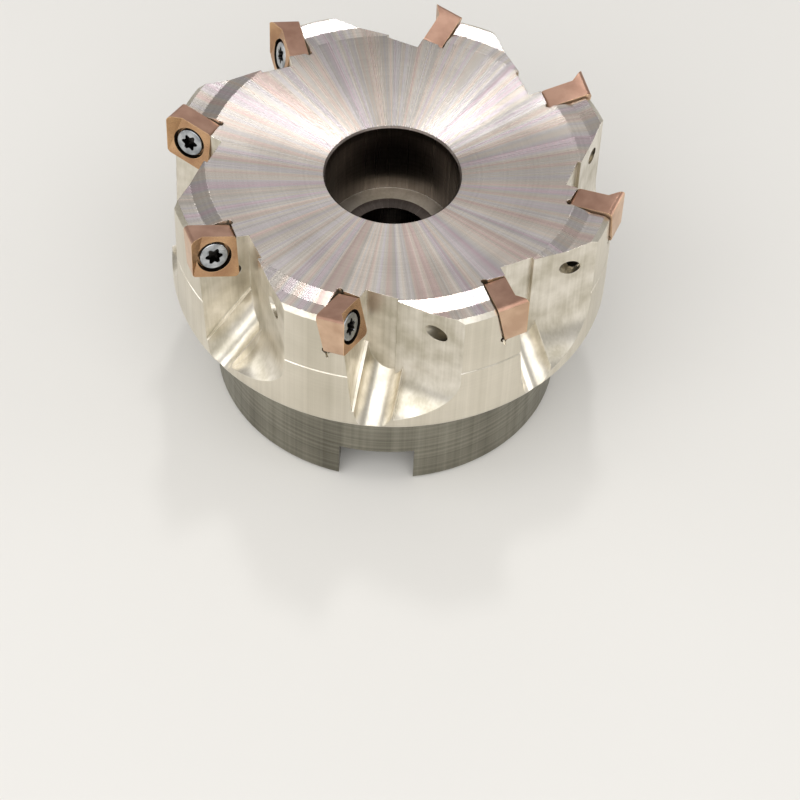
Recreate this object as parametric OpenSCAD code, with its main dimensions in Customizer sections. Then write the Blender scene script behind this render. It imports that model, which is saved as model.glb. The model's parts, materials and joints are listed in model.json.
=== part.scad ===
// Indexable 90 degree shoulder and face mill, right hand.
// A steel body carries eight clamped inserts, each held in its pocket by one screw.
// Z is the spindle axis. Z = 0 is the hub's back face, and the cutting face points up.

/* [Cutter] */
// Cutting diameter, over the corners of the inserts
cutting_d = 63; // [62:0.5:68]
// Height from the hub's back face to the cutting corners
cutter_h = 40; // [39:0.5:46]

/* [Hub and arbor seat] */
// Diameter of the hub
hub_d = 49; // [46:0.5:54]
// Diameter of the arbor bore
arbor_bore_d = 22; // [20:0.5:24]
// Depth of the arbor bore from the back face
arbor_bore_depth = 20; // [16:0.5:20]
// Width of the drive slot across the hub
slot_w = 10.4; // [8:0.1:12]
// Depth of the drive slot
slot_depth = 6.3; // [5:0.1:8]
// Diameter of the through hole for the arbor screw
screw_hole_d = 11; // [9:0.5:13]
// Diameter of the counterbore for the arbor screw's head
counterbore_d = 18; // [15:0.5:20]
// Height of the counterbore's floor above the back face
counterbore_floor = 24.4; // [23:0.2:27]

/* [Flange] */
// Height of the flange's lower edge
rim_z = 18.3; // [16:0.1:19]
// Height of the fine turned line round the flange
turned_line_z = 28.3; // [27:0.1:32]

/* [Gullets] */
// Radius of the bull-nosed foot of each gullet
foot_r = 6.7; // [5:0.1:6.9]
// Height of each gullet's foot
foot_z = 20; // [19:0.1:21]
// Radius of the sloping chip trough beside each insert
trough_r = 2.6; // [2.4:0.05:2.8]
// Diameter of the coolant outlets
coolant_d = 2.3; // [1.6:0.1:2.6]

/* [Inserts] */
// Width of an insert, from its inner side to its outer side
insert_w = 6.3; // [6:0.05:6.4]
// Thickness of an insert at its floor
insert_t = 2.9; // [2.6:0.05:3.1]
// Height of the raised cutting corner above the floor
horn_h = 1.4; // [1:0.05:1.5]
// Radius of the corners of an insert
corner_r = 0.6; // [0.4:0.05:0.8]

/* [Insert screws] */
// Diameter of the screw's thread
screw_d = 2.5; // [2.2:0.1:2.8]
// Diameter of the screw's head
screw_head_d = 3.9; // [3.6:0.1:4.1]
// Length of the screw
screw_len = 6.4; // [5.6:0.1:6.6]

/* [Hidden] */
$fn = 96;

teeth = 8;
pitch_angle = 360 / teeth;
// Direction of insert 1, with the drive slot along Y
first_angle = -7.9;
tip_r = cutting_d / 2;
hub_r = hub_d / 2;
// How far the inserts stand above the body's face and out of its flange
face_drop = 1.7;
overhang = 1.1;
top_z = cutter_h - face_drop;
body_r = tip_r - overhang;
// Overlap of a cutter that ends on a face, and of one that runs well past it
eps = 0.01;
past = 1;

// The turned face: a shallow dish, then two rings and an edge chamfer, each placed from the cutting radius
face_edge_r = tip_r - 6.2;
ring_r = tip_r - 3.9;
outer_ring_r = tip_r - 1.8;
ring_drop = 0.35;
outer_ring_rise = 0.1;
edge_chamfer = 0.45;
dish_slope = 0.145;
counterbore_r = counterbore_d / 2;
// The counterbore's mouth: a chamfer over a tapered lead-in
mouth_chamfer = 0.25;
lead_in = 0.17;
lead_in_len = 1.4;
mouth_r = counterbore_r + lead_in + mouth_chamfer;
mouth_z = top_z - dish_slope * (face_edge_r - mouth_r);
rim_round = 0.9;
line_depth = 0.15;
hub_chamfer = 0.6;

// Seat of an insert, in the frame of its tooth: X runs outwards, Y the way it cuts
seat_x = tip_r - 6.35;
seat_y = 0.6;
seat_z = cutter_h - 1.72;
radial_rake = -15.6;
axial_tilt = 12;
edge_slope = 0.232;
insert_side = insert_w + 0.1;
seat_gap = 0.03;
insert_mid_x = insert_w / 2;
insert_mid_z = (edge_slope * insert_w - insert_side) / 2;
horn_foot_x = insert_w - 1.95;
// The ramp's fall along the outer edge, and the facet that falls away to the inner edge
horn_fall = 0.21;
facet_w = 1.5;
facet_depth = 0.4;

// Countersunk hole of an insert, and the cone of the screw that sits in it
hole_mouth_r = screw_head_d / 2 + 0.4;
hole_waist_r = screw_d / 2 + 0.25;
hole_mouth_depth = 1.1;
head_drop = 0.1;
head_edge = 0.45;
cone_gap = 0.05;
cone_half_angle = 30;
cone_top_z = -head_drop - head_edge;
cone_low_z = cone_top_z - (screw_head_d - screw_d) / 2 / tan(cone_half_angle);
// Radius of the hole's cone at a height on the screw's axis
function cone_r(z) = screw_d / 2 + cone_gap + (z - cone_low_z) * tan(cone_half_angle);
// Height at which the hole's cone has narrowed to its waist
waist_z = cone_low_z + (hole_waist_r - screw_d / 2 - cone_gap) / tan(cone_half_angle);

// Chord plane of a gullet, in the frame of its tooth
chord_x = tip_r - 8;
chord_y = 1.1;
chord_angle = -10.83;
// Beyond wall_step_y along the chord plane, the gullet's wall stands out by wall_step
wall_step = 0.5;
wall_step_y = 4.6;
trough_y = 3.2;
trough_yaw = 6.9;
trough_z = 27.9;
foot_start_y = 5.7;
// Slope of the wall below the insert, and how it opens towards the hub
wall_slope_top = 0.28;
wall_slope_turn = 0.0118;
wall_lean = 0.02;
wall_top_z = 38.4;

// Coolant outlet on the chord plane, the way it runs inwards, and its feed from the bore
outlet = [tip_r - 5.6, 10.9, 34.6];
outlet_way = [-0.57, 0.77, -0.29];
outlet_depth = 2.8;
feed_r = 1;
feed_end = outlet + outlet_depth * outlet_way;
feed_angle = atan2(feed_end.y, feed_end.x);
feed_start_r = arbor_bore_d / 2 - 0.8;
feed_start = [feed_start_r * cos(feed_angle), feed_start_r * sin(feed_angle), 16.5];

steel = [0.80, 0.78, 0.74];
carbide = [0.72, 0.52, 0.36];
screw_steel = [0.45, 0.45, 0.47];

// Points of an arc, from angle a0 to a1
function arc(c, r, a0, a1, n) = [
    for (i = [0:n]) let (a = a0 + (a1 - a0) * i / n) [c.x + r * cos(a), c.y + r * sin(a)]
];

// A point of the plan turned by an angle about the axis, at a height z
function turned(p, angle, z) = [
    p.x * cos(angle) - p.y * sin(angle), p.x * sin(angle) + p.y * cos(angle), z
];

// The wall below an insert: how far it stands forward at a distance x out and a height z
function wall_y(x, z) = let (drop = wall_top_z - z)
    chord_y + wall_lean * drop - (x - chord_x) * (wall_slope_top - wall_slope_turn * drop);

// Children are placed on tooth i, counted from 0
module on_tooth(i) {
    rotate([0, 0, first_angle + i * pitch_angle]) children();
}

// Children are placed on a seat: X outwards, Y out of the seat, Z towards the cutting face
module on_seat() {
    translate([seat_x, seat_y, seat_z]) rotate([0, 0, radial_rake]) rotate([axial_tilt, 0, 0]) children();
}

// Children, drawn along Z, are turned so that they run out of the seat on the screw's axis
module on_screw_axis() {
    translate([insert_mid_x, 0, insert_mid_z]) rotate([-90, 0, 0]) children();
}

// A round bar from p to q
module bar(p, q, r) {
    d = q - p;
    translate(p) rotate([0, acos(d.z / norm(d)), atan2(d.y, d.x)]) cylinder(h = norm(d), r = r);
}

module turned_blank() {
    rotate_extrude() polygon(concat(
        [[0, 0], [hub_r - hub_chamfer, 0], [hub_r, hub_chamfer], [hub_r, rim_z]],
        arc([body_r - rim_round, rim_z + rim_round], rim_round, -90, 0, 5),
        [
            [body_r, turned_line_z - line_depth],
            [body_r - line_depth, turned_line_z],
            [body_r, turned_line_z + line_depth],
            [body_r, top_z + outer_ring_rise - edge_chamfer],
            [outer_ring_r, top_z + outer_ring_rise],
            [ring_r, top_z - ring_drop],
            [face_edge_r, top_z],
            [mouth_r, mouth_z],
            [0, mouth_z]
        ]
    ));
}

module centre_bores() {
    chamfer = 0.6;
    // Bevel where the screw hole opens in the counterbore's floor
    bevel_w = 1.3;
    bevel_h = 0.5;
    lead_in_z = mouth_z - mouth_chamfer - lead_in_len;
    translate([0, 0, -eps]) cylinder(h = arbor_bore_depth + eps, r = arbor_bore_d / 2);
    translate([0, 0, -eps]) cylinder(h = chamfer, r1 = arbor_bore_d / 2 + chamfer, r2 = arbor_bore_d / 2);
    translate([0, 0, arbor_bore_depth - past])
        cylinder(h = cutter_h - arbor_bore_depth, r = screw_hole_d / 2);
    rotate_extrude() polygon([
        [0, counterbore_floor - bevel_h], [screw_hole_d / 2, counterbore_floor - bevel_h],
        [screw_hole_d / 2 + bevel_w, counterbore_floor], [counterbore_r, counterbore_floor],
        [counterbore_r, lead_in_z], [mouth_r - mouth_chamfer, lead_in_z + lead_in_len],
        [mouth_r, mouth_z], [mouth_r, cutter_h], [0, cutter_h]
    ]);
}

module drive_slot() {
    w = slot_w / 2;
    edge = 0.5;
    translate([0, hub_r + past, 0]) rotate([90, 0, 0]) linear_extrude(2 * (hub_r + past)) polygon([
        [-w - edge - eps, -eps], [-w, edge], [-w, slot_depth],
        [w, slot_depth], [w, edge], [w + edge + eps, -eps]
    ]);
}

// The core and the walls below the inserts, which the gullets' cutters leave standing
module tooth_walls() {
    rows = 8;
    cols = 3;
    inside_chord = 2.5;
    x0 = chord_x - inside_chord;
    x1 = body_r + 2 * past;
    z0 = rim_z - 3 * past;
    z1 = cutter_h + 2 * past;
    back = -5;
    // One level: round the eight teeth, each from its back to the front of its wall
    function level(z) = [
        for (i = [0:teeth - 1], k = [0:cols + 2]) let (x = x1 - (x1 - x0) * max(k - 2, 0) / cols)
            turned([k == 0 ? x0 : x, k < 2 ? back : wall_y(x, z)], i * pitch_angle, z)
    ];
    n = teeth * (cols + 3);
    levels = [for (i = [0:rows]) each level(z0 + (z1 - z0) * i / rows)];
    low = len(levels);
    sides = [
        for (i = [0:rows - 1], k = [0:n - 1], half = [0, 1])
            let (p = i * n + k, q = i * n + (k + 1) % n) half == 0 ? [p, p + n, q + n] : [p, q + n, q]
    ];
    caps = [
        for (k = [0:n - 1], half = [0, 1]) let (q = (k + 1) % n)
            half == 0 ? [low, k, q] : [low + 1, rows * n + q, rows * n + k]
    ];
    rotate([0, 0, first_angle]) polyhedron(concat(levels, [[0, 0, z0], [0, 0, z1]]), concat(sides, caps));
}

// Children in the chord plane's frame: X is the distance out of the plane, Y runs along it
module on_chord() {
    translate([chord_x, chord_y, 0]) rotate([0, 0, chord_angle]) children();
}

module gullet_foot() {
    reach = 12;
    length = 22;
    difference() {
        translate([wall_step, length, foot_z])
            rotate([90, 0, 0]) linear_extrude(length + 3 * past) difference() {
                square([reach, cutter_h]);
                difference() {
                    square(foot_r);
                    translate([foot_r, foot_r]) circle(foot_r);
                }
            }
        translate([0, foot_start_y, 0]) rotate([0, 0, trough_yaw])
            translate([-reach, -length, 0]) cube([3 * reach, length, 2 * cutter_h]);
    }
}

module chip_trough() {
    reach = 24;
    intersection() {
        translate([0, trough_y, trough_z]) rotate([0, 0, trough_yaw]) rotate([0, 45, 0]) union() {
            translate([-reach / 2, 0, 0]) rotate([0, 90, 0]) cylinder(h = reach, r = trough_r);
            translate([-reach / 2, -2 * trough_r, 0]) cube([reach, 3 * trough_r, reach]);
        }
        linear_extrude(cutter_h + 4 * past) polygon([
            [0, -reach / 2], [0, wall_step_y], [wall_step, wall_step_y],
            [wall_step, reach / 2], [reach, reach / 2], [reach, -reach / 2]
        ]);
    }
}

module gullets() {
    difference() {
        for (i = [0:teeth - 1]) on_tooth(i) on_chord() {
            gullet_foot();
            chip_trough();
        }
        tooth_walls();
    }
}

// Room for an insert, with reliefs at its corners so that only the flat sides locate it
module insert_pocket() {
    open = 8;
    front = 3;
    floor_z = -insert_side - seat_gap;
    seat_back = -insert_t - seat_gap;
    lean = atan(edge_slope);
    translate([0, front, 0]) rotate([90, 0, 0]) linear_extrude(front - seat_back) polygon([
        [-seat_gap, open], [-seat_gap, floor_z - edge_slope * seat_gap],
        [open, floor_z + edge_slope * open], [open, open]
    ]);
    // Inner bottom corner, drilled along the screw's axis
    corner_relief = 0.95;
    corner_relief_inset = [0.4, 0.45];
    behind_seat = 0.3;
    translate([corner_relief_inset.x, seat_back - behind_seat, corner_relief_inset.y - insert_side])
        rotate([-90, 0, 0]) cylinder(h = insert_t + front, r = corner_relief);
    // Inner back corner, drilled downwards
    edge_relief = 0.45;
    edge_inset = 0.1;
    edge_lift = 0.15;
    translate([edge_inset, seat_back + edge_lift, floor_z])
        cylinder(h = insert_side + 6 * past, r = edge_relief);
    // Bottom back corner, drilled inwards from the flange
    floor_relief = 0.55;
    floor_inset = 0.05;
    translate([0, seat_back + floor_inset, floor_z + floor_inset])
        rotate([0, 90 - lean, 0]) cylinder(h = open, r = floor_relief);
    // Clearance behind the top and the outer edges
    shoulder_z = -1.1;
    behind_edges = 0.18;
    outer_strip = 0.9;
    edge_lap = 0.1;
    translate([edge_inset, seat_back - behind_edges, shoulder_z])
        rotate([0, -lean, 0]) cube([open, behind_edges + edge_lap, open]);
    translate([insert_w - outer_strip, seat_back - behind_edges, floor_z])
        cube([open, behind_edges + edge_lap, insert_side + open]);
}

module cutter_body() {
    thread_gap = 0.05;
    hole_below = 0.5;
    color(steel) difference() {
        turned_blank();
        centre_bores();
        drive_slot();
        gullets();
        for (i = [0:teeth - 1]) on_tooth(i) {
            on_seat() {
                insert_pocket();
                on_screw_axis() translate([0, 0, -screw_len - hole_below])
                    cylinder(h = screw_len, r = screw_d / 2 + thread_gap);
            }
            bar(outlet - 2 * past * outlet_way, feed_end, coolant_d / 2);
            bar(feed_start, feed_end, feed_r);
        }
    }
}

// Outline of an insert: a parallelogram with rounded corners
module insert_outline() {
    lean = atan(edge_slope);
    k = corner_r;
    lift = k / cos(lean);
    left = edge_slope * k;
    right = edge_slope * (insert_w - k);
    polygon(concat(
        arc([k, left - insert_side + lift], k, 180, 270 + lean, 6),
        arc([insert_w - k, right - insert_side + lift], k, 270 + lean, 360, 6),
        arc([insert_w - k, right - lift], k, 0, 90 + lean, 6),
        arc([k, left - lift], k, 90 + lean, 180, 6)
    ));
}

// The half of space in front of the XZ plane, as far as an insert can reach
module in_front() {
    reach = 20;
    translate([-reach, 0, -reach]) cube([2 * reach, reach, 2 * reach]);
}

// Room in front of the ramp that climbs to the outer cutting edge, highest at its top corner
module above_ramp() {
    turn = atan(horn_h / (insert_w - horn_foot_x));
    translate([horn_foot_x, 0, edge_slope * insert_w])
        rotate([-atan(horn_fall * cos(turn)), 0, turn]) in_front();
}

// Room in front of the facet along the inner edge, deepest at its bottom corner
module above_facet() {
    turn = atan(facet_depth / facet_w);
    drop = facet_depth / insert_side;
    rotate([atan(drop * cos(turn)), 0, turn]) in_front();
}

module insert_blank() {
    difference() {
        translate([0, horn_h, 0]) rotate([90, 0, 0]) linear_extrude(horn_h + insert_t) insert_outline();
        intersection() {
            in_front();
            above_ramp();
        }
        above_facet();
    }
}

module insert(i) {
    color(carbide) on_tooth(i - 1) on_seat() difference() {
        insert_blank();
        on_screw_axis() rotate_extrude() polygon([
            [0, -insert_t - past], [hole_waist_r, -insert_t - past], [hole_waist_r, waist_z],
            [cone_r(-hole_mouth_depth), -hole_mouth_depth], [hole_mouth_r, -hole_mouth_depth],
            [hole_mouth_r, 2 * past], [0, 2 * past]
        ]);
    }
}

module insert_screw(i) {
    r = screw_d / 2;
    head = screw_head_d / 2;
    edge = 0.12;
    tip = 0.3;
    recess_depth = 1.1;
    recess_r = 0.87;
    lobe_r = 0.33;
    color(screw_steel) on_tooth(i - 1) on_seat() on_screw_axis() difference() {
        rotate_extrude() polygon([
            [0, -screw_len], [r - tip, -screw_len], [r, -screw_len + tip], [r, cone_low_z],
            [head, cone_top_z], [head, -head_drop - edge], [head - edge, -head_drop], [0, -head_drop]
        ]);
        translate([0, 0, -head_drop - recess_depth]) linear_extrude(recess_depth + past) union() {
            circle(recess_r);
            for (a = [0:60:300]) rotate(a) translate([recess_r, 0]) circle(lobe_r);
        }
    }
}

cutter_body();
insert(1);  // insert_1
insert(2);  // insert_2
insert(3);  // insert_3
insert(4);  // insert_4
insert(5);  // insert_5
insert(6);  // insert_6
insert(7);  // insert_7
insert(8);  // insert_8
insert_screw(1);  // insert_screw_1
insert_screw(2);  // insert_screw_2
insert_screw(3);  // insert_screw_3
insert_screw(4);  // insert_screw_4
insert_screw(5);  // insert_screw_5
insert_screw(6);  // insert_screw_6
insert_screw(7);  // insert_screw_7
insert_screw(8);  // insert_screw_8
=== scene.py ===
"""Looks of a right-hand shoulder face mill: a nickel-plated body with coated inserts and their screws."""

import json
import logging
import math
from dataclasses import dataclass, field
from enum import Enum

import bmesh
import bpy
from mathutils import Matrix, Vector


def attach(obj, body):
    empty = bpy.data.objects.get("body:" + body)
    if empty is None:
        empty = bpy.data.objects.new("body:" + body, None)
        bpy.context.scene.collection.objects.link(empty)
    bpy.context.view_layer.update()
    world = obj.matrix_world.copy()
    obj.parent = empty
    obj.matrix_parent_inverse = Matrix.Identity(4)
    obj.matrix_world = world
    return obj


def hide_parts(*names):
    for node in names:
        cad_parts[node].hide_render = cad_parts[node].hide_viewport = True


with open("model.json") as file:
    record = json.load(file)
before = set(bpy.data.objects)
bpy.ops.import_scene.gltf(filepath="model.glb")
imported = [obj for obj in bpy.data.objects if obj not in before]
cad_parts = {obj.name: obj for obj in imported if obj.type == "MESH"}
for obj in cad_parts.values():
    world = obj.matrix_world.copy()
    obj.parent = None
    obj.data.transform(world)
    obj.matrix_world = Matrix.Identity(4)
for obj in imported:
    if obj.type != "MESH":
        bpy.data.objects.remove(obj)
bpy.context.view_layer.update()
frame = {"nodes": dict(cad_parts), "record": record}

log = logging.getLogger("face_mill")

MM = 0.001


def linear(hex_colour: str, alpha: float = 1.0) -> tuple[float, float, float, float]:
    """Turn an sRGB hex colour into linear values.

    Args:
        hex_colour: Six hex digits, with or without a leading hash.
        alpha: Opacity.

    Returns:
        Linear red, green, blue and alpha.
    """
    digits = hex_colour.lstrip("#")
    values = [int(digits[i : i + 2], 16) / 255 for i in (0, 2, 4)]
    straight = [v / 12.92 if v <= 0.04045 else ((v + 0.055) / 1.055) ** 2.4 for v in values]
    return (*straight, alpha)


def add_node(tree: bpy.types.NodeTree, kind: str, settings: dict | None = None, **inputs) -> bpy.types.Node:
    """Add a shader node with its settings and its links.

    Args:
        tree: The tree that gets the node.
        kind: The node's type name.
        settings: Properties of the node itself.
        **inputs: Each input by its name with underscores for spaces, or i0, i1 and so on for its place,
            and either a value or the socket that feeds it.

    Returns:
        The new node.
    """
    node = tree.nodes.new(kind)
    for name, value in (settings or {}).items():
        setattr(node, name, value)
    for name, value in inputs.items():
        if name[0] == "i" and name[1:].isdigit():
            socket = node.inputs[int(name[1:])]
        else:
            socket = node.inputs[name.replace("_", " ")]
        if isinstance(value, bpy.types.NodeSocket):
            tree.links.new(value, socket)
        else:
            socket.default_value = value
    return node


def add_ramp(
    tree: bpy.types.NodeTree, factor: bpy.types.NodeSocket, stops: list[tuple[float, str]]
) -> bpy.types.NodeSocket:
    """Add a colour ramp.

    Args:
        tree: The tree that gets the node.
        factor: What drives the ramp.
        stops: Each stop's place and hex colour, in order.

    Returns:
        The ramp's colour output.
    """
    ramp = add_node(tree, "ShaderNodeValToRGB", Fac=factor)
    elements = ramp.color_ramp.elements
    elements[0].position, elements[0].color = stops[0][0], linear(stops[0][1])
    elements[1].position, elements[1].color = stops[-1][0], linear(stops[-1][1])
    for place, colour in stops[1:-1]:
        elements.new(place).color = linear(colour)
    return ramp.outputs["Color"]


def maths(tree: bpy.types.NodeTree, operation: str, *values, clamp: bool = False) -> bpy.types.NodeSocket:
    """Add a maths node.

    Args:
        tree: The tree that gets the node.
        operation: The node's operation.
        *values: Its inputs in order, as numbers or sockets.
        clamp: Whether the result is held between 0 and 1.

    Returns:
        The node's output.
    """
    inputs = {f"i{i}": value for i, value in enumerate(values)}
    node = add_node(tree, "ShaderNodeMath", {"operation": operation, "use_clamp": clamp}, **inputs)
    return node.outputs[0]


@dataclass(frozen=True)
class TurnedPlate:
    """Nickel plate over turned steel: fine circular tool lines that draw a highlight out along the radius.

    Attributes:
        name: The material's name.
        light: Colour of the bright plate, as hex.
        dark: Colour of the dull plate, as hex.
        roughness: Roughness across the tool lines.
        anisotropy: How strongly the tool lines stretch a highlight.
        feed_mm: Distance between tool lines. The real feed is finer than can be seen, so it is
            drawn coarser.
        line_depth_mm: Depth of the tool lines.
        line_tone: How much the tool lines change the colour.
        axial: Whether the lines follow each other up a cylinder, and not outwards over a face.
        rainbow: How much painted diffraction colour, as the fine lines would split out of the light, is
            tinted into the base colour.
        glint: How far the roughness swings from spoke to spoke.
    """

    name: str
    light: str = "e0d5cf"
    dark: str = "b4aaa5"
    roughness: float = 0.3
    anisotropy: float = 0.75
    feed_mm: float = 0.35
    line_depth_mm: float = 0.002
    line_tone: float = 0.15
    axial: bool = False
    rainbow: float = 0.0
    glint: float = 0.06

    def make(self) -> bpy.types.Material:
        """Build the material.

        Returns:
            The finished material.
        """
        material = bpy.data.materials.new(self.name)
        material.use_nodes = True
        tree = material.node_tree
        shader = tree.nodes["Principled BSDF"]
        place = add_node(tree, "ShaderNodeTexCoord").outputs["Object"]
        axes = add_node(tree, "ShaderNodeSeparateXYZ", Vector=place)
        x, y, z = axes.outputs
        squares = maths(tree, "ADD", maths(tree, "MULTIPLY", x, x), maths(tree, "MULTIPLY", y, y))
        radius = maths(tree, "SQRT", squares)
        angle = maths(tree, "ARCTAN2", y, x)
        along = z if self.axial else radius
        # Tool lines: noise that changes along the feed only, with a slow drift round the part
        turn = maths(tree, "MULTIPLY", angle, 0.02)
        line_step = maths(tree, "DIVIDE", along, self.feed_mm * MM)
        lines_at = add_node(tree, "ShaderNodeCombineXYZ", X=line_step, Y=turn)
        lines = add_node(
            tree, "ShaderNodeTexNoise", {"noise_dimensions": "2D"}, Vector=lines_at.outputs[0],
            Scale=1.0, Detail=3.0
        ).outputs["Fac"]
        # Glints: noise that changes round the part only, so that each is a thin spoke
        spoke_at = add_node(
            tree, "ShaderNodeCombineXYZ", X=maths(tree, "COSINE", angle), Y=maths(tree, "SINE", angle)
        )
        spokes = add_node(
            tree, "ShaderNodeTexNoise", {"noise_dimensions": "3D"}, Vector=spoke_at.outputs[0],
            Scale=12.0, Detail=8.0,
            Roughness=0.75,
        ).outputs["Fac"]
        cloud = add_node(
            tree, "ShaderNodeTexNoise", {"noise_dimensions": "3D"}, Vector=place, Scale=90.0, Detail=4.0
        ).outputs["Fac"]
        tone = maths(
            tree, "ADD", maths(tree, "MULTIPLY", spokes, 0.55), maths(tree, "MULTIPLY", cloud, 0.45)
        )
        line_swing = maths(tree, "MULTIPLY", maths(tree, "SUBTRACT", lines, 0.5), self.line_tone)
        tone = maths(tree, "ADD", tone, line_swing)
        colour = add_ramp(tree, tone, [(0.32, self.dark), (0.62, self.light)])
        # Painted diffraction colour: a rainbow tint multiplied into the base colour, the same from every
        # side
        if self.rainbow:
            hue = add_ramp(
                tree,
                add_node(
                    tree, "ShaderNodeTexNoise", {"noise_dimensions": "3D"},
                    Vector=spoke_at.outputs[0], Scale=16.0,
                    Detail=5.0,
                ).outputs["Fac"],
                [(0.34, "ffc9c0"), (0.43, "fff0d6"), (0.5, "eefff2"), (0.57, "cfe4ff"), (0.66, "f0c8ff")],
            )
            mix = add_node(
                tree, "ShaderNodeMix", {"data_type": "RGBA", "blend_type": "MULTIPLY"}, Factor=self.rainbow,
                i6=colour, i7=hue,
            )
            colour = mix.outputs[2]
        tree.links.new(colour, shader.inputs["Base Color"])
        shader.inputs["Metallic"].default_value = 1.0
        rough = add_node(
            tree, "ShaderNodeMapRange", Value=spokes, From_Min=0.35, From_Max=0.65,
            To_Min=self.roughness + self.glint,
            To_Max=self.roughness - self.glint,
        )
        tree.links.new(rough.outputs["Result"], shader.inputs["Roughness"])
        shader.inputs["Anisotropic"].default_value = self.anisotropy
        # The tool lines run round the axis, so the tangent is square to the radius
        tangent = add_node(tree, "ShaderNodeCombineXYZ", X=maths(tree, "MULTIPLY", y, -1.0), Y=x)
        tangent = add_node(tree, "ShaderNodeVectorMath", {"operation": "NORMALIZE"}, i0=tangent.outputs[0])
        tree.links.new(tangent.outputs[0], shader.inputs["Tangent"])
        rounded = add_node(tree, "ShaderNodeBevel", {"samples": 4}, Radius=0.12 * MM)
        bump = add_node(
            tree, "ShaderNodeBump", Strength=1.0, Distance=self.line_depth_mm * MM, Height=lines,
            Normal=rounded.outputs[0],
        )
        tree.links.new(bump.outputs[0], shader.inputs["Normal"])
        return material


@dataclass(frozen=True)
class MilledPlate:
    """Nickel plate over end-milled steel: faint upright cutter marks, satin, with edges rounded in the
    shading so that they catch the light.

    Attributes:
        name: The material's name.
        light: Colour of the bright plate, as hex.
        dark: Colour of the dull plate, as hex.
        roughness: Mean roughness.
        mark_mm: Spacing of the cutter marks, drawn coarser than the real ones so that they show.
        mark_depth_mm: Depth of the marks.
    """

    name: str
    light: str = "eae4d8"
    dark: str = "bfb8a6"
    roughness: float = 0.34
    mark_mm: float = 0.35
    mark_depth_mm: float = 0.003

    def make(self) -> bpy.types.Material:
        """Build the material.

        Returns:
            The finished material.
        """
        material = bpy.data.materials.new(self.name)
        material.use_nodes = True
        tree = material.node_tree
        shader = tree.nodes["Principled BSDF"]
        place = add_node(tree, "ShaderNodeTexCoord").outputs["Object"]
        marks_at = add_node(
            tree, "ShaderNodeMapping", Vector=place, Scale=(1 / (self.mark_mm * MM),
            1 / (self.mark_mm * MM), 12.0)
        ).outputs[0]
        marks = add_node(tree, "ShaderNodeTexNoise", Vector=marks_at, Scale=1.0, Detail=3.0).outputs["Fac"]
        cloud = add_node(tree, "ShaderNodeTexNoise", Vector=place, Scale=240.0, Detail=5.0).outputs["Fac"]
        tone = maths(tree, "ADD", maths(tree, "MULTIPLY", marks, 0.2), maths(tree, "MULTIPLY", cloud, 0.8))
        tree.links.new(add_ramp(tree, tone, [(0.35, self.dark), (0.62, self.light)]),
            shader.inputs["Base Color"])
        shader.inputs["Metallic"].default_value = 1.0
        rough = add_node(
            tree, "ShaderNodeMapRange", Value=tone, From_Min=0.35, From_Max=0.65,
            To_Min=self.roughness + 0.06,
            To_Max=self.roughness - 0.05,
        )
        tree.links.new(rough.outputs["Result"], shader.inputs["Roughness"])
        rounded = add_node(tree, "ShaderNodeBevel", {"samples": 4}, Radius=0.15 * MM)
        bump = add_node(
            tree, "ShaderNodeBump", Strength=1.0, Distance=self.mark_depth_mm * MM, Height=marks,
            Normal=rounded.outputs[0],
        )
        tree.links.new(bump.outputs[0], shader.inputs["Normal"])
        return material


@dataclass(frozen=True)
class CoatedCarbide:
    """Ground carbide under a bronze vapour coating: a thin film, a little mottled, made in copies coloured
    to how each face is lit.

    Attributes:
        name: The material's name.
        light: Colour where the film is thin, as hex.
        dark: Colour where it is thick, as hex.
        edge: Colour of the painted highlight along the edges, as hex.
        edge_highlight: How strongly the painted edge highlight shows.
        roughness: Mean roughness.
    """

    name: str
    light: str = "b4937b"
    dark: str = "94735f"
    edge: str = "ecc99a"
    edge_highlight: float = 0.8
    roughness: float = 0.36

    def make(self) -> bpy.types.Material:
        """Build the material.

        Returns:
            The finished material.
        """
        material = bpy.data.materials.new(self.name)
        material.use_nodes = True
        tree = material.node_tree
        shader = tree.nodes["Principled BSDF"]
        place = add_node(tree, "ShaderNodeTexCoord").outputs["Object"]
        film = add_node(tree, "ShaderNodeTexNoise", Vector=place, Scale=300.0, Detail=4.0).outputs["Fac"]
        grit = add_node(tree, "ShaderNodeTexNoise", Vector=place, Scale=9000.0, Detail=2.0).outputs["Fac"]
        # Painted highlight: where a wide rounding would turn the surface, the ground edges are painted pale,
        # as if they caught the light
        wide = add_node(tree, "ShaderNodeBevel", {"samples": 4}, Radius=0.16 * MM).outputs[0]
        flat = add_node(tree, "ShaderNodeNewGeometry").outputs["Normal"]
        along = add_node(tree, "ShaderNodeVectorMath", {"operation": "DOT_PRODUCT"}, i0=wide,
            i1=flat).outputs["Value"]
        painted_edge_highlight = add_node(
            tree, "ShaderNodeMapRange", Value=along, From_Min=0.98, From_Max=0.8, To_Min=0.0,
            To_Max=self.edge_highlight
        ).outputs["Result"]
        film_colour = add_ramp(tree, film, [(0.35, self.dark), (0.65, self.light)])
        colour = add_node(
            tree, "ShaderNodeMix", {"data_type": "RGBA"}, Factor=painted_edge_highlight, i6=film_colour, i7=linear(self.edge)
        )
        tree.links.new(colour.outputs[2], shader.inputs["Base Color"])
        shader.inputs["Metallic"].default_value = 0.85
        rough = add_node(
            tree, "ShaderNodeMapRange", Value=grit, From_Min=0.3, From_Max=0.7, To_Min=self.roughness - 0.06,
            To_Max=self.roughness + 0.08,
        )
        tree.links.new(rough.outputs["Result"], shader.inputs["Roughness"])
        rounded = add_node(tree, "ShaderNodeBevel", {"samples": 4}, Radius=0.08 * MM)
        bump = add_node(
            tree, "ShaderNodeBump", Strength=0.6, Distance=0.002 * MM, Height=grit, Normal=rounded.outputs[0]
        )
        tree.links.new(bump.outputs[0], shader.inputs["Normal"])
        return material


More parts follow.
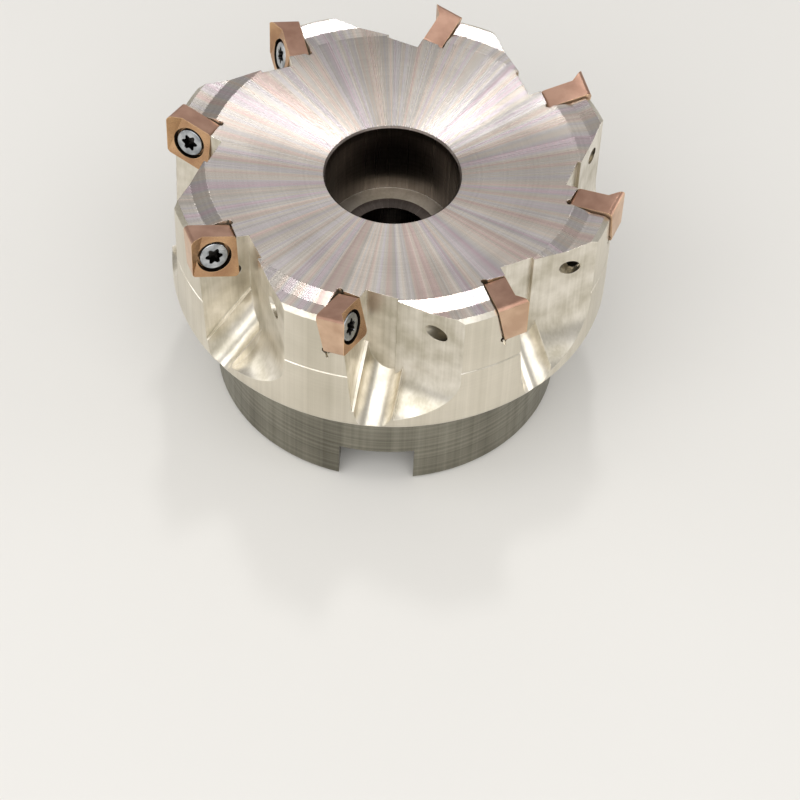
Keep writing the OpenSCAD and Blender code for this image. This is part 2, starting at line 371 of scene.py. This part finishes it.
@dataclass(frozen=True)
class ToolSteel:
    """Bright tool steel of a small screw: smooth, cool grey, a little stained.

    Attributes:
        name: The material's name.
        light: Colour of the clean steel, as hex.
        dark: Colour of the stain, as hex.
        roughness: Mean roughness.
    """

    name: str
    light: str = "a9adb2"
    dark: str = "74787e"
    roughness: float = 0.28

    def make(self) -> bpy.types.Material:
        """Build the material.

        Returns:
            The finished material.
        """
        material = bpy.data.materials.new(self.name)
        material.use_nodes = True
        tree = material.node_tree
        shader = tree.nodes["Principled BSDF"]
        place = add_node(tree, "ShaderNodeTexCoord").outputs["Object"]
        stain = add_node(tree, "ShaderNodeTexNoise", Vector=place, Scale=700.0, Detail=4.0).outputs["Fac"]
        tree.links.new(add_ramp(tree, stain, [(0.35, self.dark), (0.65, self.light)]),
            shader.inputs["Base Color"])
        shader.inputs["Metallic"].default_value = 1.0
        rough = add_node(
            tree, "ShaderNodeMapRange", Value=stain, From_Min=0.3, From_Max=0.7,
            To_Min=self.roughness + 0.08,
            To_Max=self.roughness - 0.05,
        )
        tree.links.new(rough.outputs["Result"], shader.inputs["Roughness"])
        return material


class BodyZone(Enum):
    """The differently finished surfaces of the body."""

    FACE = 0
    FLANGE = 1
    GULLET = 2
    HUB = 3
    BORE = 4


@dataclass
class CutterBody:
    """The one-piece steel body.

    Attributes:
        node: Its CAD node.
        dish_slope: Rise of the dished face towards the teeth.
        face_edge_r: Radius where the dish ends, in metres.
        face_top: Height of the dish's edge, in metres.
        flange_r: Radius of the flange, in metres.
        rim_z: Height of the flange's lower edge, in metres.
        bore_r: Radius of the widest bore, in metres.
        flat_z: Least upward part of the normal of the face's rings.
        ring_edge: Least angle of an edge between two rings, in degrees.
        sharp_edge: Least angle of any other sharp edge, in degrees.
        finishes: The finish of each zone.
    """

    node: str = "cutter_body"
    dish_slope: float = 0.145
    face_edge_r: float = 25.3 * MM
    face_top: float = 38.3 * MM
    flange_r: float = 30.4 * MM
    rim_z: float = 18.3 * MM
    bore_r: float = 11.7 * MM
    flat_z: float = 0.95
    ring_edge: float = 8
    sharp_edge: float = 24
    finishes: dict = field(
        default_factory=lambda: {
            BodyZone.FACE: TurnedPlate("nickel_plate_turned_face", rainbow=0.28,
            anisotropy=0.82, roughness=0.26, glint=0.1),
            BodyZone.FLANGE: TurnedPlate(
                "nickel_plate_turned_flange", axial=True, light="e6dfd0", dark="c6bfae",
                roughness=0.36, anisotropy=0.3,
                line_tone=0.06,
            ),
            BodyZone.GULLET: MilledPlate("nickel_plate_milled_gullet"),
            # The hub's darker colours paint the shade under the flange
            BodyZone.HUB: TurnedPlate(
                "nickel_plate_turned_hub", axial=True, light="9b988b", dark="6a675c",
                roughness=0.38, feed_mm=0.5,
                line_tone=0.4,
            ),
            # The bore's dark colours paint the shade inside it
            BodyZone.BORE: TurnedPlate("nickel_plate_bored", axial=True, light="7a716b",
            dark="4c4541", feed_mm=0.4),
        }
    )

    def zone_of(self, face: bmesh.types.BMFace) -> BodyZone:
        """Tell which zone a face of the body lies in.

        Args:
            face: A face of the merged mesh.

        Returns:
            Its zone.
        """
        centre = face.calc_center_median()
        radius = math.hypot(centre.x, centre.y)
        corner_r = max(math.hypot(v.co.x, v.co.y) for v in face.verts)
        low_r = min(math.hypot(v.co.x, v.co.y) for v in face.verts)
        if corner_r < self.bore_r and centre.z < self.face_top - 2 * MM and face.normal.z < 0.95:
            return BodyZone.BORE
        if centre.z < self.rim_z - 0.1 * MM:
            return BodyZone.HUB
        dish = self.face_top - self.dish_slope * max(self.face_edge_r - radius, 0)
        if face.normal.z > 0.85 and centre.z > dish - 0.6 * MM:
            return BodyZone.FACE
        upright = abs(face.normal.z) < 0.9
        if low_r > self.flange_r - 1.2 * MM and upright and corner_r > self.flange_r - 0.05 * MM:
            outward = Vector((centre.x, centre.y, 0)).normalized().dot(face.normal)
            if outward > 0.9:
                return BodyZone.FLANGE
        return BodyZone.GULLET

    def build(self) -> bpy.types.Object:
        """Copy the body's CAD mesh, merge it and sort its faces by finish.

        Returns:
            The body's object.
        """
        mesh = bpy.data.meshes.new("milled_body")
        body = bmesh.new()
        body.from_mesh(frame["nodes"][self.node].data)
        bmesh.ops.remove_doubles(body, verts=body.verts, dist=0.0005 * MM)
        for zone in BodyZone:
            mesh.materials.append(self.finishes[zone].make())
        for face in body.faces:
            face.smooth = True
            face.material_index = self.zone_of(face).value
        for edge in body.edges:
            flat = all(face.normal.z > self.flat_z for face in edge.link_faces)
            limit = self.ring_edge if flat else self.sharp_edge
            edge.smooth = len(edge.link_faces) == 2 and edge.calc_face_angle(0.0) < math.radians(limit)
        body.to_mesh(mesh)
        body.free()
        piece = bpy.data.objects.new("milled_body", mesh)
        bpy.context.scene.collection.objects.link(piece)
        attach(piece, "body")
        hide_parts(self.node)
        return piece


@dataclass(frozen=True)
class Seat:
    """Where one insert and its screw sit.

    Attributes:
        number: The tooth, from 1.
        spot: The point of the screw's axis that is level with the insert's face, in metres.
        out: The screw's axis, out of the seat.
    """

    number: int
    spot: Vector
    out: Vector

    @classmethod
    def of(cls, number: int) -> "Seat":
        """Read a seat from the frame's joints.

        Args:
            number: The tooth, from 1.

        Returns:
            The seat.
        """
        joints = {joint["name"]: joint for joint in frame["record"]["behaviour"]["joints"]}
        turn = joints[f"insert_screw_{number}_turn"]
        return cls(number, Vector(turn["pos_m"]), Vector(turn["axis"]).normalized())

    def side(self) -> Vector:
        """Find the direction along the seat that points away from the spindle's axis.

        Returns:
            A level unit vector.
        """
        return Vector((self.out.y, -self.out.x, 0)).normalized()

    def matrix(self) -> Matrix:
        """Find the placement whose Z is the screw's axis and whose X points outwards.

        Returns:
            The placement.
        """
        turn = Matrix((self.side(), self.out.cross(self.side()), self.out)).transposed()
        return Matrix.Translation(self.spot) @ turn.to_4x4()


class InsertZone(Enum):
    """The differently lit grounds of an insert."""

    RAKE = 0
    TOP_FLANK = 1
    OUTER_FLANK = 2
    HOLE = 3


@dataclass
class Insert:
    """One ground insert under its vapour coating.

    Attributes:
        seat: Where it sits.
        finishes: The finished material of each zone, in order.
        hole_r: Radius inside which the screw's hole lies, in metres.
        sharp_edge: Least angle of an edge that stays sharp, in degrees.
    """

    seat: Seat
    finishes: list
    hole_r: float = 2.4 * MM
    sharp_edge: float = 14

    def zone_of(self, face: bmesh.types.BMFace) -> InsertZone:
        """Tell which zone a face of the insert lies in.

        Args:
            face: A face of the merged mesh.

        Returns:
            Its zone.
        """
        away = face.calc_center_median() - self.seat.spot
        off_axis = (away - away.dot(self.seat.out) * self.seat.out).length
        # The hole's walls get the dark material that paints the shade inside it
        if off_axis < self.hole_r and face.normal.dot(self.seat.out) < 0.9:
            return InsertZone.HOLE
        if face.normal.dot(self.seat.out) > 0.5:
            return InsertZone.RAKE
        return InsertZone.TOP_FLANK if face.normal.z > 0.6 else InsertZone.OUTER_FLANK

    def build(self) -> bpy.types.Object:
        """Copy the insert's CAD mesh, merge it and sort its faces by finish.

        Returns:
            The insert's object.
        """
        number = self.seat.number
        mesh = bpy.data.meshes.new(f"coated_insert_{number}")
        shape = bmesh.new()
        shape.from_mesh(frame["nodes"][f"insert_{number}"].data)
        bmesh.ops.remove_doubles(shape, verts=shape.verts, dist=0.0005 * MM)
        for material in self.finishes:
            mesh.materials.append(material)
        for face in shape.faces:
            face.smooth = True
            face.material_index = self.zone_of(face).value
        for edge in shape.edges:
            bend = edge.calc_face_angle(0.0)
            edge.smooth = len(edge.link_faces) == 2 and bend < math.radians(self.sharp_edge)
        shape.to_mesh(mesh)
        shape.free()
        piece = bpy.data.objects.new(f"coated_insert_{number}", mesh)
        bpy.context.scene.collection.objects.link(piece)
        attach(piece, f"insert {number}")
        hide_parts(f"insert_{number}")
        return piece


@dataclass
class InsertScrew:
    """One countersunk screw: a rounded head with a six-lobe socket over a threaded shank.

    Attributes:
        seat: Where it sits.
        finishes: The materials of its steel and of its socket, the socket's dark colour painting the shade
            in the recess.
        head_r: Radius of the head, in metres.
        head_top: Height of the head's face on the screw's axis, in metres.
        edge: Height of the head's cylindrical edge, in metres.
        round_r: Rounding of the head's rim, in metres.
        shank_r: Radius of the thread's crests, in metres.
        thread_depth: Depth of the thread, in metres.
        pitch: Rise of one turn of the thread, in metres.
        length: Height of the tip below the insert's face, in metres.
        cone: Half angle of the head's cone, in degrees.
        socket_r: Mean radius of the socket, in metres.
        lobe: How far the socket's lobes swing about its mean radius, in metres.
        socket_depth: Depth of the socket, in metres.
        steps: Points round the screw.
    """

    seat: Seat
    finishes: list
    head_r: float = 1.93 * MM
    head_top: float = -0.1 * MM
    edge: float = 0.45 * MM
    round_r: float = 0.16 * MM
    shank_r: float = 1.24 * MM
    thread_depth: float = 0.2 * MM
    pitch: float = 0.45 * MM
    length: float = 6.4 * MM
    cone: float = 30
    socket_r: float = 0.95 * MM
    lobe: float = 0.2 * MM
    socket_depth: float = 1.05 * MM
    steps: int = 72

    def place(self, points: list, height: float, radius: float, lobe: float) -> None:
        """Move points onto a ring about the axis, each at its own angle.

        Args:
            points: The points.
            height: The ring's height, in metres.
            radius: Its mean radius, in metres.
            lobe: How far six lobes swing about it, in metres.
        """
        for point in points:
            angle = math.atan2(point.co.y, point.co.x)
            reach = radius + lobe * math.cos(6 * angle)
            point.co = (reach * math.cos(angle), reach * math.sin(angle), height)

    def rings(self) -> list[tuple[float, float, float]]:
        """List the rings from the socket's floor, over the head and down the thread to the tip.

        Returns:
            Each ring's height, radius and lobe.
        """
        top, edge = self.head_top, self.round_r
        floor = top - self.socket_depth
        found = [(floor, self.socket_r * 0.9, self.lobe * 0.9), (top - 0.1 * MM, self.socket_r, self.lobe)]
        found += [(top, self.socket_r + 0.06 * MM, self.lobe), (top, self.head_r - edge, 0.0)]
        for angle in (22, 45, 68, 90):
            a = math.radians(angle)
            found.append((top - edge * (1 - math.cos(a)), self.head_r - edge * (1 - math.sin(a)), 0.0))
        cone_top = top - self.edge
        neck = cone_top - (self.head_r - self.shank_r) / math.tan(math.radians(self.cone))
        found += [(cone_top, self.head_r, 0.0), (neck, self.shank_r, 0.0)]
        height = neck - self.pitch
        tip = -self.length + 0.02 * MM
        root = self.shank_r - self.thread_depth
        while height > tip + self.pitch:
            found += [(height, self.shank_r, 0.0), (height - 0.06 * MM, self.shank_r, 0.0)]
            found += [(height - 0.2 * MM, root, 0.0), (height - 0.28 * MM, root, 0.0)]
            height -= self.pitch
        found += [(tip + 0.3 * MM, root, 0.0), (tip, root - 0.2 * MM, 0.0)]
        return found

    def build(self) -> bpy.types.Object:
        """Draw a circle out from ring to ring into a closed screw and put it in its seat.

        Returns:
            The screw's object.
        """
        number = self.seat.number
        mesh = bpy.data.meshes.new(f"socket_screw_{number}")
        shape = bmesh.new()
        rings = self.rings()
        circle = bmesh.ops.create_circle(shape, segments=self.steps, radius=rings[0][1], cap_ends=True)
        self.place(circle["verts"], *rings[0])
        border = list(shape.edges)
        for values in rings[1:]:
            drawn = bmesh.ops.extrude_edge_only(shape, edges=border)["geom"]
            points = [item for item in drawn if isinstance(item, bmesh.types.BMVert)]
            self.place(points, *values)
            fresh = set(points)
            lines = [item for item in drawn if isinstance(item, bmesh.types.BMEdge)]
            border = [line for line in lines if set(line.verts) <= fresh]
        bmesh.ops.edgeloop_fill(shape, edges=border)
        # The socket's faces get the second material, whose dark colour paints the shade in the recess
        for face in shape.faces:
            inside = max(math.hypot(v.co.x, v.co.y) for v in face.verts) < self.socket_r + 1.2 * self.lobe
            above_floor = face.calc_center_median().z > self.head_top - 1.1 * self.socket_depth
            face.material_index = int(inside and above_floor)
        bmesh.ops.recalc_face_normals(shape, faces=shape.faces)
        for face in shape.faces:
            face.smooth = True
        for edge in shape.edges:
            edge.smooth = edge.calc_face_angle(0.0) < math.radians(35)
        bmesh.ops.transform(shape, matrix=self.seat.matrix(), verts=shape.verts)
        for material in self.finishes:
            mesh.materials.append(material)
        shape.to_mesh(mesh)
        shape.free()
        piece = bpy.data.objects.new(f"socket_screw_{number}", mesh)
        bpy.context.scene.collection.objects.link(piece)
        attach(piece, f"screw {number}")
        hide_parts(f"insert_screw_{number}")
        return piece


@dataclass
class InsertSet:
    """The eight inserts and the eight screws that clamp them.

    Attributes:
        count: How many there are.
    """

    count: int = 8

    def build(self) -> None:
        """Build each insert and each screw."""
        # One coating in copies per face: the rake, the top flank and the outer flank are coloured to how
        # each is lit, so they paint light and shade
        films = [
            CoatedCarbide("bronze_coated_rake", light="caa37c", dark="a98262", roughness=0.3).make(),
            CoatedCarbide("bronze_coated_top_flank", light="c09a86", dark="a47e6c", roughness=0.4).make(),
            CoatedCarbide("bronze_coated_outer_flank", light="dabb9f", dark="c09f85", roughness=0.36).make(),
            # The hole's dark colours paint the shade inside the screw's hole
            CoatedCarbide("painted_shade_screw_hole", light="2a221c", dark="15110e", edge_highlight=0.0,
            roughness=0.6).make(),
        ]
        steels = [
            ToolSteel("tool_steel_screw", light="c2c5c8", dark="8f9397").make(),
            # The socket's steel is dark to paint the shade in the six-lobe recess
            ToolSteel("painted_shade_socket_steel", light="55524f", dark="2a2827", roughness=0.3).make(),
        ]
        for number in range(1, self.count + 1):
            seat = Seat.of(number)
            for piece in (Insert(seat, films).build(), InsertScrew(seat, steels).build()):
                log.info("%s: %d faces", piece.name, len(piece.data.polygons))


@dataclass
class Studio:
    """The floor, the lights and the camera.

    Attributes:
        focal_mm: Focal length on a 36 mm sensor.
        distance: From the axis to the camera, in metres.
        pitch: How far down the camera looks, in degrees.
        turn: Turn of the camera's own heading, in degrees.
        orbit: How far the camera has gone round the axis, in degrees.
        roll: Roll of the camera, in degrees.
        target: The point on which the camera's line is centred, in metres.
    """

    focal_mm: float = 112.28
    distance: float = 374.65 * MM
    pitch: float = 49.924
    turn: float = 1.19
    orbit: float = 1.78
    roll: float = 2.654
    target: Vector = field(default_factory=lambda: Vector((-0.06, 0, -11.53)) * MM)

    def camera(self) -> None:
        """Set up the camera."""
        data = bpy.data.cameras.new("camera")
        data.lens = self.focal_mm
        data.sensor_width = 36.0
        data.clip_start = 0.01
        data.clip_end = 10.0
        camera = bpy.data.objects.new("camera", data)
        pitch = math.radians(self.pitch)
        spot = self.target + Vector((0, -math.cos(pitch), math.sin(pitch))) * self.distance
        camera.location = Matrix.Rotation(math.radians(self.orbit), 3, "Z") @ spot
        tilt = Matrix.Rotation(math.pi / 2 - pitch, 3, "X")
        look = Matrix.Rotation(math.radians(self.turn), 3, "Z") @ tilt
        camera.rotation_euler = (look @ Matrix.Rotation(math.radians(self.roll), 3, "Z")).to_euler()
        bpy.context.scene.collection.objects.link(camera)
        bpy.context.scene.camera = camera

    def lamp(
        self, name: str, spot: tuple, aim: tuple, size: tuple, watts: float, colour: str = "ffffff"
    ) -> None:
        """Add a soft rectangular lamp.

        Args:
            name: The lamp's name.
            spot: Where it hangs, in metres.
            aim: What it points at, in metres.
            size: Its width and height, in metres.
            watts: Its power.
            colour: Its colour, as hex.
        """
        data = bpy.data.lights.new(name, "AREA")
        data.shape = "RECTANGLE"
        data.size, data.size_y = size
        data.energy = watts
        data.color = linear(colour)[:3]
        lamp = bpy.data.objects.new(name, data)
        lamp.location = spot
        lamp.rotation_euler = (Vector(aim) - Vector(spot)).to_track_quat("-Z", "Y").to_euler()
        bpy.context.scene.collection.objects.link(lamp)

    def floor(self) -> None:
        """Lay the pale floor."""
        mesh = bpy.data.meshes.new("floor")
        sheet = bmesh.new()
        bmesh.ops.create_grid(sheet, x_segments=1, y_segments=1, size=3.0)
        sheet.to_mesh(mesh)
        sheet.free()
        material = bpy.data.materials.new("pale_studio_paper")
        material.use_nodes = True
        shader = material.node_tree.nodes["Principled BSDF"]
        shader.inputs["Base Color"].default_value = linear("e6e4e0")
        shader.inputs["Roughness"].default_value = 0.9
        mesh.materials.append(material)
        floor = bpy.data.objects.new("floor", mesh)
        bpy.context.scene.collection.objects.link(floor)

    def world(self) -> None:
        """Fill the room with even light."""
        world = bpy.data.worlds.new("studio")
        world.use_nodes = True
        back = world.node_tree.nodes["Background"]
        back.inputs["Color"].default_value = linear("f4f2ef")
        back.inputs["Strength"].default_value = 0.44
        bpy.context.scene.world = world

    def build(self) -> None:
        """Set up the whole studio."""
        self.floor()
        self.world()
        self.camera()
        centre = (0, 0, 0.03)
        self.lamp("fan_lamp", (0.02, 0.33, 0.8), centre, (0.07, 0.1), 0.75)
        self.lamp("back_lamp", (0.05, 0.95, 0.55), centre, (0.5, 0.5), 0.4)
        self.lamp("front_lamp", (-0.1, -0.65, 0.7), (0, -0.1, 0), (1.5, 1.1), 9.5)
        self.lamp("side_lamp", (0.9, 0.0, 0.25), centre, (0.5, 0.4), 1.8)
        self.lamp("left_lamp", (-0.9, 0.0, 0.25), centre, (0.5, 0.4), 1.4)
        scene = bpy.context.scene
        scene.view_settings.view_transform = "Standard"


def main() -> None:
    """Build the cutter and its studio, and report each piece."""
    logging.basicConfig(level=logging.INFO, format="%(message)s")
    body = CutterBody().build()
    log.info("%s: %d faces", body.name, len(body.data.polygons))
    InsertSet().build()
    Studio().build()


if __name__ == "__main__":
    main()
